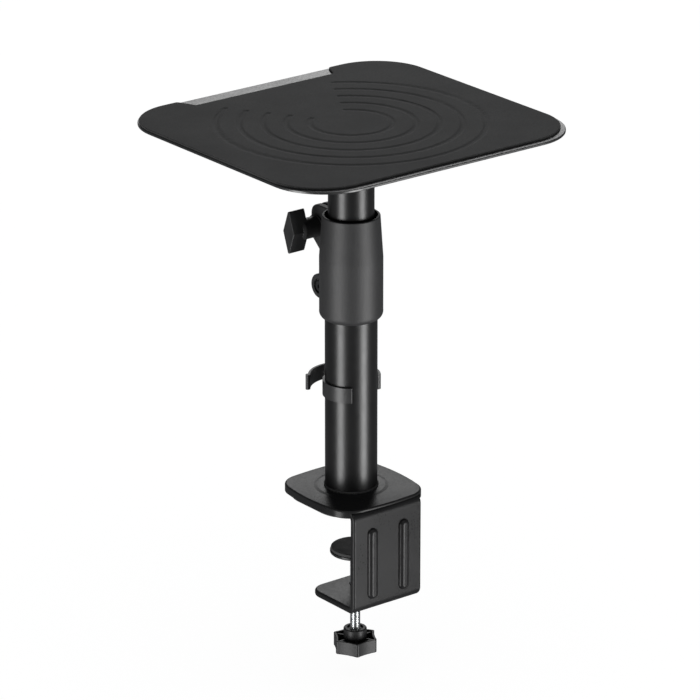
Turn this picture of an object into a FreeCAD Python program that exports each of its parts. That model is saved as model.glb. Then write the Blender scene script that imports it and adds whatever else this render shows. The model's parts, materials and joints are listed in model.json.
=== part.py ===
import FreeCAD, Part
import math
import os

# Clamp-on desk stand: a padded steel tray on a telescoping round pole, held by a C-shaped desk clamp.
# Units are millimetres. +Z is up and the pole's axis is the Z axis. z = 0 is the desk surface that the
# base pad rests on. The bracket's upright web is on the -Y side, so the desk enters from +Y.

# ---- driving dimensions ----
# pole
OUTER_TUBE_R = 20.0
OUTER_TUBE_WALL = 1.5
OUTER_TUBE_TOP = 198.0
INNER_TUBE_R = 17.5
INNER_TUBE_WALL = 1.5
INNER_TUBE_BOTTOM = 21.5
BUSH_HEIGHT = 22.0
STOP_RING_H = 1.4
STOP_RING_DEPTH = 0.5
STOP_RING_RISE = 0.8
END_CAP_LIP_H = 3.0
END_CAP_LIP_RISE = 0.7
END_CAP_PLUG_H = 10.0
RUNNING_GAP = 0.05
WELD_GAP = 0.02
SAME = 1e-3

# base plate and pad
BASE_HALF_X = 43.8
BASE_BACK_Y = -47.0
BASE_FRONT_Y = 42.8
BASE_TOP_Z = 8.0
BASE_SKIRT_Z = 2.0
BASE_SKIN = 2.0
BASE_CORNER_R = 19.0
BASE_SIDE_BOW = 5.6
BASE_END_BOW = 3.0
BASE_EDGE_R = 1.3
BASE_BOSS_R = (28.7, 26.0)
BASE_BOSS_H = 0.35
BASE_PAD_TOP_Z = 1.0
BASE_SCREW_X = 24.0
BASE_SCREW_Y = (-28.0, 22.0)
BASE_SCREW_R = 1.95
BASE_SCREW_HEAD = (3.8, 1.9)
FOOT_SCREW_PCR = 11.0
FOOT_SCREW_HEAD = (4.6, 2.2)
FOOT_SCREW_TOP_Z = 15.0
FOOT_PLUG_H = 12.0
FOOT_RING_RISE = 0.9
FOOT_RING_H = 1.6
HEX_SOCKET_DEPTH = 1.6

# C-shaped bracket
BRACKET_HALF_X = 32.8
BRACKET_T = 5.0
BRACKET_WEB_Y = -45.3
BRACKET_TOP_Z = 6.0
BRACKET_JAW_Z = -77.6
BRACKET_BEND_R = 7.0
BRACKET_EDGE_R = 1.8
BRACKET_TOP_Y = 30.0
BRACKET_JAW_Y = 11.0
BRACKET_TONGUE_R = 12.0
BRACKET_SPLIT_Z = -20.0
JAW_HOLE_PLAY = 0.6
RIB_X = 15.0
RIB_WIDTH = 9.0
RIB_Z = (-67.5, -9.5)
RIB_RISE = 3.3
RIB_EDGE_R = 3.3
RIB_DENT_INSET = 2.2
JAW_NUT_Z = (-83.5, -77.6)

# collar and its ears
COLLAR_R = 24.2
COLLAR_TOP_R = 22.0
COLLAR_Z = (144.7, 226.0)
COLLAR_TAPER_Z = 192.7
COLLAR_RECESS_Z = 216.0
COLLAR_MOUTH_R = 20.9
COLLAR_LIP = (23.4, 2.2)
COLLAR_LIP_H = 6.0
COLLAR_RIM_R = 0.8
LINER_OUTER_GAP = 1.4
LINER_FLANGE_H = 2.0
SLIT_HALF = 1.5
EAR_X = 6.5
EAR_ROOT_Y = 16.0
EAR_EDGE_R = 1.0
UPPER_EAR_Y = 41.0
UPPER_EAR_CORNERS = ((226.0, 8.0), (200.0, 6.0))
UPPER_EAR_ROOT_Z = 177.5
CLAMP_BOLT_YZ = (34.0, 209.0)
LOWER_EAR_YZ = (31.8, 161.2)
LOWER_EAR_R = 9.6
M6_R = 2.95
M6_FLATS = 10.0
M6_HEAD_RECESS = 1.5
M6_TAIL_X = -26.0
M5_R = 2.45
M5_FLATS = 8.0
M5_HEAD_R = 4.6
M5_HEAD_H = 2.5
M5_SOCKET = (3.0, 1.7)
HOLE_PLAY = 0.1

# wing knob
WING_X = (-33.2, -18.8)
WING_HALF_Z = 18.9
WING_HALF_Y = 6.8
WING_TIP_R = 1.2
WING_FLANK_R = 1.0
WING_EDGE_R = 0.5
WING_HUB_R = 8.0
WING_NECK = (6.8, 2.0, 3.0)
INSERT_R = 4.5
INSERT_X = -19.9
WASHER_X = (-7.9, -6.52)
WASHER_R = 9.0

# tray
TRAY_X = 259.5
TRAY_Y = 243.5
TRAY_CORNER_R = 45.0
TRAY_EDGE_R = 0.5
TRAY_PLATE_Z = (294.5, 296.5)
PAD_X = 257.5
PAD_Y = (-116.3, 120.8)
PAD_CORNER_R = 44.0
PAD_TOP_Z = 298.0
NOTCH_OUTER = 144.0
NOTCH_INNER = 131.0
NOTCH_DEPTH = 15.0
NOTCH_CORNER_R = 6.0
GROOVE_COUNT = 5
GROOVE_FIRST_R = 31.0
GROOVE_STEP_R = 17.4
GROOVE_WIDTH = 4.8
GROOVE_DEPTH = 0.6
GROOVE_GAP_DEG = (60.0, 122.0)
FLANGE_R = 42.0
FLANGE_Z = (290.5, 294.5)
FLANGE_HUB_R = 22.0
FLANGE_HUB_Z = 284.0
FLANGE_EDGE_R = 1.0
TRAY_SCREW_PCD = 60.0
TRAY_SCREW_R = 1.95
TRAY_SCREW_HEAD = (3.9, 1.8)
TRAY_SCREW_SOCKET = (2.5, 1.15)

# clamp screw, pressure disc and star knob
SCREW_Y = -5.0
SCREW_R = 4.0
SCREW_Z = (-126.0, -46.5)
DISC_PAD_Z = (-43.8, -41.0)
DISC_PAD_R = 18.8
DISC_CUP_Z = (-46.2, -43.8)
DISC_CUP_R = 19.4
DISC_BOSS_R = 6.7
DISC_BOSS_Z = -51.8
CLIP_RING_Z = (-50.5, -49.3)
CLIP_RING_R = 5.2
CLIP_RING_DEPTH = 0.8
SCREW_HEAD_H = 5.5
STAR_TIP_R = 18.5
STAR_SIDE_R = 15.1
STAR_LOBES = 6
STAR_PHASE_DEG = -2.0
STAR_HUB_R = 9.0
STAR_Z = (-127.5, -116.5)
STAR_HUB_Z = -109.2
STAR_WALL = 1.7
STAR_FLOOR = 2.5
STAR_RIB_HALF = 0.8
STAR_TIP_ROUND = 1.8
STAR_POCKET_ROUND = 0.8
STAR_CAP_R = 7.65
STAR_CAP_Z = (-127.4, -126.05)
STAR_DISH_R = 6.2
STAR_DISH_DEPTH = 1.2
NUT_M8_FLATS = 13.0

# cable clip
CLIP_Z = (82.5, 94.5)
CLIP_WALL = 1.8
CLIP_HOOK_CENTRE = (2.0, 11.0)
CLIP_HOOK_R = 26.7
CLIP_HOOK_DEG = (-35.0, 144.0)
CLIP_HUG_DEG = (-10.0, 232.0)
CLIP_BEND = (22.3, -3.9)
CLIP_BEND_R = 1.65
CLIP_BEND_DEG = (170.0, 372.0)
CLIP_BEAD_R = 1.7
CLIP_BEAD_OUT = 1.1

Z_AXIS = FreeCAD.Vector(0, 0, 1)
X_AXIS = FreeCAD.Vector(1, 0, 0)


def vec(x, y, z=0.0):
    return FreeCAD.Vector(x, y, z)


def polar(radius, degrees, z=0.0):
    angle = math.radians(degrees)
    return vec(radius * math.cos(angle), radius * math.sin(angle), z)


def cylinder(radius, z0, z1, x=0.0, y=0.0):
    return Part.makeCylinder(radius, z1 - z0, vec(x, y, z0), Z_AXIS)


def ring(outer, inner, z0, z1, x=0.0, y=0.0):
    return cylinder(outer, z0, z1, x, y).cut(cylinder(inner, z0, z1, x, y))


def rod_x(radius, x0, x1, y, z):
    return Part.makeCylinder(radius, x1 - x0, vec(x0, y, z), X_AXIS)


def block(x0, x1, y0, y1, z0, z1):
    return Part.makeBox(x1 - x0, y1 - y0, z1 - z0, vec(x0, y0, z0))


def extrude(edges, along):
    return Part.Face(Part.Wire(edges)).extrude(along)


def closed_polygon(points):
    return Part.makePolygon(points + [points[0]]).Edges


def hexagon_z(flats, z0, z1, x=0.0, y=0.0):
    corner = flats / math.sqrt(3.0)
    points = [polar(corner, 60.0 * k, z0) + vec(x, y) for k in range(6)]
    return extrude(closed_polygon(points), vec(0, 0, z1 - z0))


def hexagon_x(flats, x0, x1, y, z):
    corner = flats / math.sqrt(3.0)
    points = []
    for k in range(6):
        angle = math.radians(60.0 * k + 30.0)
        points.append(vec(x0, y + corner * math.cos(angle), z + corner * math.sin(angle)))
    return extrude(closed_polygon(points), vec(x1 - x0, 0, 0))


def upright(edge):
    a, b = edge.Vertexes[0].Point, edge.Vertexes[-1].Point
    return abs(a.z - b.z) > 0.5 and abs(a.x - b.x) < SAME and abs(a.y - b.y) < SAME


def flat_at(edge, z):
    return edge.BoundBox.ZLength < SAME and abs(edge.BoundBox.ZMin - z) < SAME


def rounded_plate(x0, x1, y0, y1, z0, z1, radius):
    plate = block(x0, x1, y0, y1, z0, z1)
    return plate.makeFillet(radius, [e for e in plate.Edges if upright(e)])


def round_rim(shape, z, radius):
    return shape.makeFillet(radius, [e for e in shape.Edges if flat_at(e, z)])


# ---- base ----
def base_prism(inset, z0, z1):
    """Rounded rectangle with four gently bowed sides."""
    half = BASE_HALF_X - inset
    back = BASE_BACK_Y + inset
    front = BASE_FRONT_Y - inset
    mid_y = (back + front) / 2.0
    corners = [
        vec(-half + BASE_SIDE_BOW, back + BASE_END_BOW, z0),
        vec(half - BASE_SIDE_BOW, back + BASE_END_BOW, z0),
        vec(half - BASE_SIDE_BOW, front - BASE_END_BOW, z0),
        vec(-half + BASE_SIDE_BOW, front - BASE_END_BOW, z0),
    ]
    middles = [vec(0, back, z0), vec(half, mid_y, z0), vec(0, front, z0), vec(-half, mid_y, z0)]
    sides = []
    for k in range(4):
        sides.append(Part.Arc(corners[k], middles[k], corners[(k + 1) % 4]).toShape())
    prism = extrude(sides, vec(0, 0, z1 - z0))
    return prism.makeFillet(BASE_CORNER_R - inset, [e for e in prism.Edges if upright(e)])


def base_screw_places():
    return [(side * BASE_SCREW_X, y) for side in (-1, 1) for y in BASE_SCREW_Y]


def foot_screw_places():
    return [polar(FOOT_SCREW_PCR, 90.0 + 120.0 * k) for k in range(3)]


def base_plate():
    plate = round_rim(base_prism(0.0, BASE_SKIRT_Z, BASE_TOP_Z), BASE_TOP_Z, BASE_EDGE_R)
    boss = Part.makeCone(BASE_BOSS_R[0], BASE_BOSS_R[1], BASE_BOSS_H, vec(0, 0, BASE_TOP_Z), Z_AXIS)
    pan = base_prism(BASE_SKIN, BASE_SKIRT_Z - 1.0, BASE_TOP_Z - BASE_SKIN)
    notch = block(-BRACKET_HALF_X - 0.3, BRACKET_HALF_X + 0.3, BASE_BACK_Y - 1.0, BASE_BACK_Y + 12.0,
                  BASE_SKIRT_Z - 1.0, BRACKET_TOP_Z)
    plate = plate.fuse(boss).cut(pan).cut(notch)
    plate = plate.cut(cylinder(OUTER_TUBE_R + RUNNING_GAP, 0, BASE_TOP_Z + 1.0))
    for x, y in base_screw_places():
        plate = plate.cut(cylinder(BASE_SCREW_R + RUNNING_GAP, BRACKET_TOP_Z - 0.5, BASE_TOP_Z - 0.8, x, y))
    return plate


def base_pad():
    pad = base_prism(BASE_SKIN + 0.3, 0.0, BASE_PAD_TOP_Z)
    behind_web = block(-60, 60, -60, BRACKET_WEB_Y + BRACKET_BEND_R + 1.0, -1, 3)
    return round_rim(pad.cut(behind_web), 0.0, 0.5)


def countersunk_cutter(x, y, head, shank_r):
    head_r, head_h = head
    hole_r = shank_r + HOLE_PLAY
    mouth_r, depth = head_r + 3 * HOLE_PLAY, head_h + HOLE_PLAY
    cone = Part.makeCone(mouth_r, hole_r, depth, vec(x, y, BASE_PAD_TOP_Z), Z_AXIS)
    return cone.fuse(cylinder(hole_r, BASE_PAD_TOP_Z, BRACKET_TOP_Z + 1.0, x, y))


def countersunk_screw(x, y, head, shank_r, top):
    head_r, head_h = head
    z0 = BASE_PAD_TOP_Z + HOLE_PLAY
    cone = Part.makeCone(head_r, shank_r, head_h, vec(x, y, z0), Z_AXIS)
    body = cone.fuse(cylinder(shank_r, z0 + head_h, top, x, y))
    return body.cut(hexagon_z(shank_r * 1.2, z0, z0 + HEX_SOCKET_DEPTH, x, y))


def foot_screws():
    places = foot_screw_places()
    return Part.makeCompound(
        [countersunk_screw(p.x, p.y, FOOT_SCREW_HEAD, M5_R, FOOT_SCREW_TOP_Z) for p in places]
    )


def base_screws():
    top = BASE_TOP_Z - 1.0
    return Part.makeCompound(
        [countersunk_screw(x, y, BASE_SCREW_HEAD, BASE_SCREW_R, top) for x, y in base_screw_places()]
    )


def foot_plug():
    top = BRACKET_TOP_Z + FOOT_PLUG_H
    plug = cylinder(OUTER_TUBE_R - OUTER_TUBE_WALL - WELD_GAP, BRACKET_TOP_Z, top)
    for p in foot_screw_places():
        plug = plug.cut(cylinder(M5_R + RUNNING_GAP, 0, top + 1.0, p.x, p.y))
    return plug


def foot_ring():
    z0 = BASE_TOP_Z + BASE_BOSS_H
    z1 = z0 + FOOT_RING_H
    return round_rim(ring(OUTER_TUBE_R + FOOT_RING_RISE, OUTER_TUBE_R + RUNNING_GAP, z0, z1), z1, 0.35)


def c_profile(inset):
    """Side outline of the C, moved inwards by inset; it stays open towards +Y."""
    y0 = BRACKET_WEB_Y + inset
    z0, z1 = BRACKET_JAW_Z + inset, BRACKET_TOP_Z - inset
    body = block(-BRACKET_HALF_X, BRACKET_HALF_X, y0, 60.0, z0, z1)
    bends = []
    for edge in body.Edges:
        box = edge.BoundBox
        if box.XLength > 1.0 and abs(box.YMax - y0) < SAME:
            bends.append(edge)
    return body.makeFillet(BRACKET_BEND_R - inset, bends)


def tongue(y_end, z0, z1):
    """What the plan outline keeps of a horizontal leg whose front corners are rounded."""
    plan = block(-BRACKET_HALF_X, BRACKET_HALF_X, -70.0, y_end, z0, z1)
    front = [e for e in plan.Edges if upright(e) and e.BoundBox.YMax > y_end - SAME]
    return plan.makeFillet(BRACKET_TONGUE_R, front)


def pill(half_width, x, y0, y1):
    """Upright bar with round ends, as wide as the rib less an inset, between two planes y0 and y1."""
    inset = RIB_WIDTH / 2.0 - half_width
    z0, z1 = RIB_Z[0] + inset, RIB_Z[1] - inset
    bar = block(x - half_width, x + half_width, y0, y1, z0, z1)
    corners = [e for e in bar.Edges if e.BoundBox.YLength > (y1 - y0) - SAME]
    return bar.makeFillet(half_width - 0.01, corners)


def pressed_rib(x):
    """(the pill that stands proud of the web, the dent behind it)"""
    half = RIB_WIDTH / 2.0
    front = BRACKET_WEB_Y - RIB_RISE
    proud = pill(half, x, front, BRACKET_WEB_Y + 1.0)
    rim = [e for e in proud.Edges if e.BoundBox.YMax < front + SAME]
    proud = proud.makeFillet(RIB_EDGE_R, rim)
    inner = BRACKET_WEB_Y + BRACKET_T
    dent = pill(half - RIB_DENT_INSET, x, inner - RIB_RISE, inner + 1.0)
    return proud, dent


def clamp_bracket():
    bracket = c_profile(0.0).cut(c_profile(BRACKET_T))
    upper = tongue(BRACKET_TOP_Y, BRACKET_SPLIT_Z, BRACKET_TOP_Z + 1.0)
    lower = tongue(BRACKET_JAW_Y, BRACKET_JAW_Z - 1.0, BRACKET_SPLIT_Z)
    bracket = bracket.common(upper.fuse(lower)).removeSplitter()
    sides = [e for e in bracket.Edges if abs(abs(e.CenterOfMass.x) - BRACKET_HALF_X) < SAME]
    bracket = bracket.makeFillet(BRACKET_EDGE_R, sides)
    for x in (-RIB_X, RIB_X):
        proud, dent = pressed_rib(x)
        bracket = bracket.fuse(proud).cut(dent)
    for p in foot_screw_places():
        bracket = bracket.cut(countersunk_cutter(p.x, p.y, FOOT_SCREW_HEAD, M5_R))
    for x, y in base_screw_places():
        bracket = bracket.cut(countersunk_cutter(x, y, BASE_SCREW_HEAD, BASE_SCREW_R))
    z0, z1 = BRACKET_JAW_Z - 1.0, BRACKET_JAW_Z + BRACKET_T + 1.0
    return bracket.cut(cylinder(SCREW_R + JAW_HOLE_PLAY, z0, z1, 0, SCREW_Y)).removeSplitter()


def jaw_nut():
    z0, z1 = JAW_NUT_Z
    nut = hexagon_z(NUT_M8_FLATS, z0, z1, 0, SCREW_Y)
    half = NUT_M8_FLATS / 2.0
    dome = Part.makeCone(half, 2.0 * half, half, vec(0, SCREW_Y, z0), Z_AXIS)
    return nut.common(dome).cut(cylinder(SCREW_R + RUNNING_GAP, z0 - 1, z1 + 1, 0, SCREW_Y))


# ---- pole and collar ----
def outer_tube():
    return ring(OUTER_TUBE_R, OUTER_TUBE_R - OUTER_TUBE_WALL, BRACKET_TOP_Z, OUTER_TUBE_TOP)


def collar_body():
    z0, z1 = COLLAR_Z
    start = vec(COLLAR_MOUTH_R, 0, z0)
    shoulder = vec(COLLAR_R, 0, z0 + COLLAR_LIP_H)
    edges = [
        Part.makeLine(vec(0, 0, z0), start),
        Part.Arc(start, vec(COLLAR_LIP[0], 0, z0 + COLLAR_LIP[1]), shoulder).toShape(),
        Part.makeLine(shoulder, vec(COLLAR_R, 0, COLLAR_TAPER_Z)),
        Part.makeLine(vec(COLLAR_R, 0, COLLAR_TAPER_Z), vec(COLLAR_TOP_R, 0, z1)),
        Part.makeLine(vec(COLLAR_TOP_R, 0, z1), vec(0, 0, z1)),
        Part.makeLine(vec(0, 0, z1), vec(0, 0, z0)),
    ]
    body = Part.Face(Part.Wire(edges)).revolve(vec(0, 0, 0), Z_AXIS, 360)
    return round_rim(body, z1, COLLAR_RIM_R)


def runs_along_x_at(edge, y, z):
    middle = edge.CenterOfMass
    return edge.BoundBox.XLength > 1.0 and abs(middle.y - y) < 0.01 and abs(middle.z - z) < 0.01


def upper_ears():
    """Flag-shaped ears: flush with the collar's top, square in front, and slanting back below."""
    top, bottom = UPPER_EAR_CORNERS[0][0], UPPER_EAR_CORNERS[1][0]
    outline = [
        vec(-EAR_X, EAR_ROOT_Y, top),
        vec(-EAR_X, UPPER_EAR_Y, top),
        vec(-EAR_X, UPPER_EAR_Y, bottom),
        vec(-EAR_X, EAR_ROOT_Y, UPPER_EAR_ROOT_Z),
    ]
    ears = extrude(closed_polygon(outline), vec(2 * EAR_X, 0, 0))
    for z, radius in UPPER_EAR_CORNERS:
        ears = ears.makeFillet(radius, [e for e in ears.Edges if runs_along_x_at(e, UPPER_EAR_Y, z)])
    return ears


def lower_ears():
    y, z = LOWER_EAR_YZ
    lobe = rod_x(LOWER_EAR_R, -EAR_X, EAR_X, y, z)
    root = block(-EAR_X, EAR_X, EAR_ROOT_Y, y, z - LOWER_EAR_R, z + LOWER_EAR_R)
    return lobe.fuse(root).removeSplitter()


def ear_edges_outer(shape):
    return [e for e in shape.Edges if abs(abs(e.CenterOfMass.x) - EAR_X) < SAME]


def collar():
    upper = upper_ears()
    lower = lower_ears()
    upper = upper.makeFillet(EAR_EDGE_R, ear_edges_outer(upper))
    lower = lower.makeFillet(EAR_EDGE_R, ear_edges_outer(lower))
    shape = collar_body().fuse(upper).fuse(lower)
    z0, z1 = COLLAR_Z
    shape = shape.cut(cylinder(OUTER_TUBE_R + RUNNING_GAP, z0 - 1, OUTER_TUBE_TOP + 2 * HOLE_PLAY))
    shape = shape.cut(cylinder(INNER_TUBE_R + LINER_OUTER_GAP + RUNNING_GAP, z0, COLLAR_RECESS_Z))
    shape = shape.cut(cylinder(OUTER_TUBE_R + 2 * HOLE_PLAY, COLLAR_RECESS_Z, z1 + 1))
    shape = shape.cut(block(-SLIT_HALF, SLIT_HALF, 5.0, UPPER_EAR_Y + 1, z0 - 1, z1 + 1))
    y, z = CLAMP_BOLT_YZ
    shape = shape.cut(rod_x(M6_R + HOLE_PLAY, -EAR_X - 1, EAR_X + 1, y, z))
    shape = shape.cut(hexagon_x(M6_FLATS + 3 * HOLE_PLAY, EAR_X - M6_HEAD_RECESS, EAR_X + 1, y, z))
    y, z = LOWER_EAR_YZ
    shape = shape.cut(rod_x(M5_R + HOLE_PLAY, -EAR_X - 1, EAR_X + 1, y, z))
    shape = shape.cut(rod_x(M5_HEAD_R + 1.4, -EAR_X - 1, -EAR_X + M5_HEAD_H + HOLE_PLAY, y, z))
    shape = shape.cut(hexagon_x(M5_FLATS + 2 * HOLE_PLAY, EAR_X - M5_HEAD_H, EAR_X + 1, y, z))
    return shape.removeSplitter()


def clamp_liner():
    """Split sleeve between the collar and the inner tube, with a thin flange on top."""
    foot = OUTER_TUBE_TOP + 3 * HOLE_PLAY
    top = COLLAR_RECESS_Z + LINER_FLANGE_H
    sleeve = cylinder(INNER_TUBE_R + LINER_OUTER_GAP, foot, COLLAR_RECESS_Z)
    flange = cylinder(OUTER_TUBE_R + HOLE_PLAY, COLLAR_RECESS_Z, top)
    liner = sleeve.fuse(flange).cut(cylinder(INNER_TUBE_R + RUNNING_GAP, foot - 1, top + 1))
    return liner.cut(block(-SLIT_HALF, SLIT_HALF, 0.0, COLLAR_R, foot - 1, top + 1))


def clamp_bolt():
    y, z = CLAMP_BOLT_YZ
    seat = EAR_X - M6_HEAD_RECESS
    face = EAR_X + 2.6
    head = hexagon_x(M6_FLATS, seat + RUNNING_GAP, face, y, z)
    dome = Part.makeCone(12.0, 4.6, 5.6, vec(face - 5.6, y, z), X_AXIS)
    shank = rod_x(M6_R, M6_TAIL_X, seat + 0.5, y, z)
    tail = shank.makeChamfer(0.7, [e for e in shank.Edges if e.BoundBox.XMax < M6_TAIL_X + SAME])
    return head.common(dome).fuse(tail).removeSplitter()


def collar_screw():
    y, z = LOWER_EAR_YZ
    face, seat = -EAR_X + HOLE_PLAY, -EAR_X + HOLE_PLAY + M5_HEAD_H
    head = rod_x(M5_HEAD_R, face, seat, y, z)
    head = head.makeFillet(1.0, [e for e in head.Edges if e.BoundBox.XMax < face + SAME])
    head = head.cut(hexagon_x(M5_SOCKET[0], face - 1, face + M5_SOCKET[1], y, z))
    return head.fuse(rod_x(M5_R, seat, EAR_X + 2.0, y, z)).removeSplitter()


def collar_nut():
    y, z = LOWER_EAR_YZ
    x0, x1 = EAR_X - M5_HEAD_H, EAR_X + 1.5
    return hexagon_x(M5_FLATS, x0, x1, y, z).cut(rod_x(M5_R + RUNNING_GAP, x0 - 1, x1 + 1, y, z))


# ---- wing knob ----
def wing_body():
    """Upright rhombus bar, with tips and edges rounded."""
    y, z = CLAMP_BOLT_YZ
    x0, x1 = WING_X
    outline = [vec(x0, y, z + WING_HALF_Z), vec(x0, y + WING_HALF_Y, z),
               vec(x0, y, z - WING_HALF_Z), vec(x0, y - WING_HALF_Y, z)]
    bar = extrude(closed_polygon(outline), vec(x1 - x0, 0, 0))
    along = [e for e in bar.Edges if e.BoundBox.XLength > 1.0]
    tips = [e for e in along if abs(e.CenterOfMass.z - z) > 1.0]
    bar = bar.makeFillet(WING_TIP_R, tips)
    flanks = [e for e in bar.Edges if e.BoundBox.XLength > 1.0 and abs(e.CenterOfMass.z - z) < SAME]
    bar = bar.makeFillet(WING_FLANK_R, flanks)
    back = [e for e in bar.Edges if e.BoundBox.XMin > x1 - SAME]
    front = [e for e in bar.Edges if e.BoundBox.XMax < x0 + SAME]
    return bar.makeFillet(WING_EDGE_R, back + front)


def wing_knob():
    y, z = CLAMP_BOLT_YZ
    hub_end = WING_X[1]
    neck_r, neck_h, neck_out = WING_NECK
    hub = rod_x(WING_HUB_R, hub_end - neck_out, WASHER_X[0] - WELD_GAP, y, z)
    neck = Part.makeCone(neck_r, WING_HUB_R, neck_h, vec(hub_end - neck_out - neck_h, y, z), X_AXIS)
    knob = wing_body().fuse(hub).fuse(neck)
    knob = knob.cut(rod_x(INSERT_R + RUNNING_GAP, INSERT_X - HOLE_PLAY, 0, y, z))
    return knob.cut(rod_x(M6_R + 1.5 * HOLE_PLAY, M6_TAIL_X - 2.0, 0, y, z)).removeSplitter()


def knob_insert():
    y, z = CLAMP_BOLT_YZ
    insert = rod_x(INSERT_R, INSERT_X, WASHER_X[0] - WELD_GAP, y, z)
    return insert.cut(rod_x(M6_R + RUNNING_GAP, INSERT_X - 1, 0, y, z))


def knob_washer():
    y, z = CLAMP_BOLT_YZ
    x0, x1 = WASHER_X
    washer = rod_x(WASHER_R, x0, x1, y, z).cut(rod_x(M6_R + HOLE_PLAY, x0 - 1, x1 + 1, y, z))
    rim = [e for e in washer.Edges if e.BoundBox.YLength > 2 * WASHER_R - 1]
    return washer.makeFillet(0.3, rim)


# ---- cable clip ----
def arc_band(cx, cy, mid_r, start_deg, end_deg):
    """Flat strip bent along an arc, with a round nose at both ends."""
    z0, z1 = CLIP_Z
    half = CLIP_WALL / 2.0
    sweep = end_deg - start_deg
    first = math.radians(start_deg)
    along = vec(math.cos(first), math.sin(first))
    profile = closed_polygon([
        vec(cx, cy, z0) + along * (mid_r - half),
        vec(cx, cy, z0) + along * (mid_r + half),
        vec(cx, cy, z1) + along * (mid_r + half),
        vec(cx, cy, z1) + along * (mid_r - half),
    ])
    strip = Part.Face(Part.Wire(profile)).revolve(vec(cx, cy, 0), Z_AXIS, sweep)
    for degrees in (start_deg, end_deg):
        nose = polar(mid_r, degrees) + vec(cx, cy)
        strip = strip.fuse(cylinder(half, z0, z1, nose.x, nose.y))
    return strip.removeSplitter()


def cable_clip():
    """C-shaped spring that grips the pole, folded back into an open cable hook."""
    grip_r = OUTER_TUBE_R + RUNNING_GAP
    grip = arc_band(0, 0, grip_r + CLIP_WALL / 2.0, *CLIP_HUG_DEG)
    hook = arc_band(*CLIP_HOOK_CENTRE, CLIP_HOOK_R, *CLIP_HOOK_DEG)
    bend = arc_band(*CLIP_BEND, CLIP_BEND_R, *CLIP_BEND_DEG)
    tip = polar(CLIP_HOOK_R + CLIP_BEAD_OUT, CLIP_HOOK_DEG[1]) + vec(*CLIP_HOOK_CENTRE)
    bead = cylinder(CLIP_BEAD_R, CLIP_Z[0], CLIP_Z[1], tip.x, tip.y)
    bore = cylinder(grip_r, CLIP_Z[0] - 1, CLIP_Z[1] + 1)
    return grip.fuse(hook).fuse(bend).fuse(bead).cut(bore).removeSplitter()


# ---- tray and inner pole ----
def tray_screw_places():
    return [polar(TRAY_SCREW_PCD / 2.0, 45.0 + 90.0 * k) for k in range(4)]


def tray_plate():
    z0, z1 = TRAY_PLATE_Z
    plate = rounded_plate(-TRAY_X / 2, TRAY_X / 2, -TRAY_Y / 2, TRAY_Y / 2, z0, z1, TRAY_CORNER_R)
    plate = round_rim(round_rim(plate, z1, TRAY_EDGE_R), z0, TRAY_EDGE_R)
    head_r, head_h = TRAY_SCREW_HEAD
    hole_r = TRAY_SCREW_R + HOLE_PLAY
    depth = head_h + HOLE_PLAY
    for p in tray_screw_places():
        sink = Part.makeCone(hole_r, head_r + 3 * HOLE_PLAY, depth, vec(p.x, p.y, z1 - depth), Z_AXIS)
        plate = plate.cut(sink).cut(cylinder(hole_r, z0 - 1, z1 + 1, p.x, p.y))
    return plate


def tray_screws():
    head_r, head_h = TRAY_SCREW_HEAD
    flats, socket_depth = TRAY_SCREW_SOCKET
    z1 = TRAY_PLATE_Z[1] - RUNNING_GAP
    neck = z1 - head_h
    screws = []
    for p in tray_screw_places():
        head = Part.makeCone(TRAY_SCREW_R, head_r, head_h, vec(p.x, p.y, neck), Z_AXIS)
        body = head.fuse(cylinder(TRAY_SCREW_R, FLANGE_Z[0] - 0.5, neck, p.x, p.y))
        screws.append(body.cut(hexagon_z(flats, z1 - socket_depth, z1, p.x, p.y)))
    return Part.makeCompound(screws)


def tray_flange():
    """Disc with a short hub, welded on the inner tube's top end."""
    z0, z1 = FLANGE_Z
    disc = round_rim(cylinder(FLANGE_R, z0, z1), z0, FLANGE_EDGE_R)
    hub = round_rim(cylinder(FLANGE_HUB_R, FLANGE_HUB_Z, z0), FLANGE_HUB_Z, FLANGE_EDGE_R)
    flange = disc.fuse(hub).cut(cylinder(INNER_TUBE_R + WELD_GAP, FLANGE_HUB_Z - 1, z0))
    for p in tray_screw_places():
        flange = flange.cut(cylinder(TRAY_SCREW_R + RUNNING_GAP, z0 - 1, z1 + 1, p.x, p.y))
    return flange.removeSplitter()


def notch_cutter():
    """Shallow cut-out in the pad's +Y edge, with S-shaped ends."""
    y1 = PAD_Y[1] + 1.0
    y0 = PAD_Y[1] - NOTCH_DEPTH
    outer, inner = NOTCH_OUTER / 2.0, NOTCH_INNER / 2.0
    z0 = TRAY_PLATE_Z[1] - 1.0
    outline = [vec(-outer, y1, z0), vec(-inner, y0, z0), vec(inner, y0, z0), vec(outer, y1, z0)]
    cutter = extrude(closed_polygon(outline), vec(0, 0, PAD_TOP_Z + 1.0 - z0))
    inside = [e for e in cutter.Edges if upright(e) and e.BoundBox.YMax < y0 + SAME]
    return cutter.makeFillet(NOTCH_CORNER_R, inside)


def groove_cutter(mid_r):
    """C-shaped channel, open towards +Y, with round ends."""
    start, end = GROOVE_GAP_DEG[1], GROOVE_GAP_DEG[0] + 360.0
    half = GROOVE_WIDTH / 2.0
    z0, z1 = PAD_TOP_Z - GROOVE_DEPTH, PAD_TOP_Z + 1.0
    first = polar(1.0, start)
    profile = closed_polygon([
        first * (mid_r - half) + vec(0, 0, z0),
        first * (mid_r + half) + vec(0, 0, z0),
        first * (mid_r + half) + vec(0, 0, z1),
        first * (mid_r - half) + vec(0, 0, z1),
    ])
    channel = Part.Face(Part.Wire(profile)).revolve(vec(0, 0, 0), Z_AXIS, end - start)
    for degrees in (start, end):
        nose = polar(mid_r, degrees)
        channel = channel.fuse(cylinder(half, z0, z1, nose.x, nose.y))
    return channel


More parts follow.
